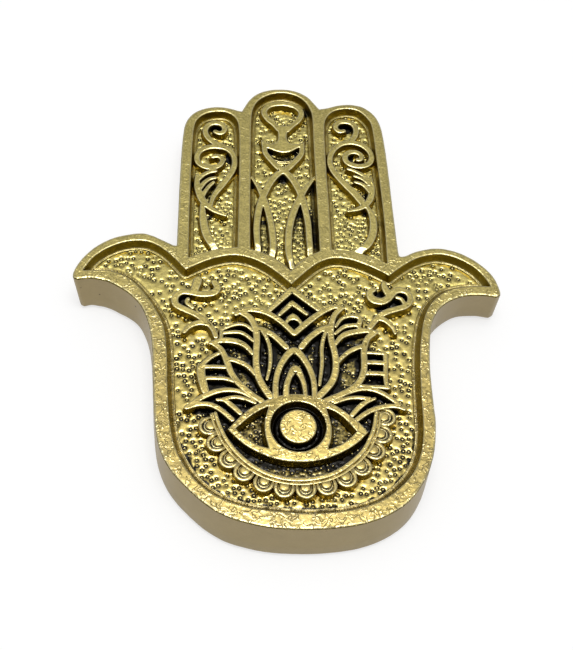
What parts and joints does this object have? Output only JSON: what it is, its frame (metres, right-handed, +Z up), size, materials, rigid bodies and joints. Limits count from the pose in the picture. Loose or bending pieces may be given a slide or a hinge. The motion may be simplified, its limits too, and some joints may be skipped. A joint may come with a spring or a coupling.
{
  "type": "incense stick holder",
  "caption": "Flat hamsa hand incense holder in antiqued gold, with a raised rim, relief scrolls, a lotus over an eye and a small bore for a stick.",
  "frame": {"origin": "centre of the hand's plan box, on the surface that the holder lies on", "axes": "+Z up from that surface, +Y towards the middle fingertip, +X towards the right thumb seen from above"},
  "size_m": [0.12, 0.144, 0.014],
  "materials": {
    "antique_gold": "cast resin in metallic gold paint, satin, with a black antiquing wash in the hollows",
    "cast_body": "the same resin: gold on the sunken ground, plain satin champagne on the outer walls",
    "felt": "dark felt, glued on"
  },
  "bodies": {
    "root": {"base_slab": "cast_body", "chevron_inner": "antique_gold", "chevron_middle": "antique_gold", "chevron_outer": "antique_gold", "crescent_band": "antique_gold", "eye_frame": "antique_gold", "felt_backing": "felt", "left_finger_scroll": "antique_gold", "left_palm_scroll": "antique_gold", "lotus_centre_bud": "antique_gold", "lotus_centre_petal": "antique_gold", "lotus_left_ladder": "antique_gold", "lotus_left_leaf": "antique_gold", "lotus_left_petal": "antique_gold", "lotus_left_wing": "antique_gold", "lotus_right_ladder": "antique_gold", "lotus_right_leaf": "antique_gold", "lotus_right_petal": "antique_gold", "lotus_right_wing": "antique_gold", "middle_finger_motif": "antique_gold", "pupil": "antique_gold", "right_finger_scroll": "antique_gold", "right_palm_scroll": "antique_gold", "rim_frame": "antique_gold", "scallop_01": "antique_gold", "scallop_02": "antique_gold", "scallop_03": "antique_gold", "scallop_04": "antique_gold", "scallop_05": "antique_gold", "scallop_06": "antique_gold", "scallop_07": "antique_gold", "scallop_08": "antique_gold", "scallop_09": "antique_gold", "scallop_10": "antique_gold", "scallop_11": "antique_gold", "scallop_12": "antique_gold", "scallop_13": "antique_gold"}
  },
  "joints": []
}
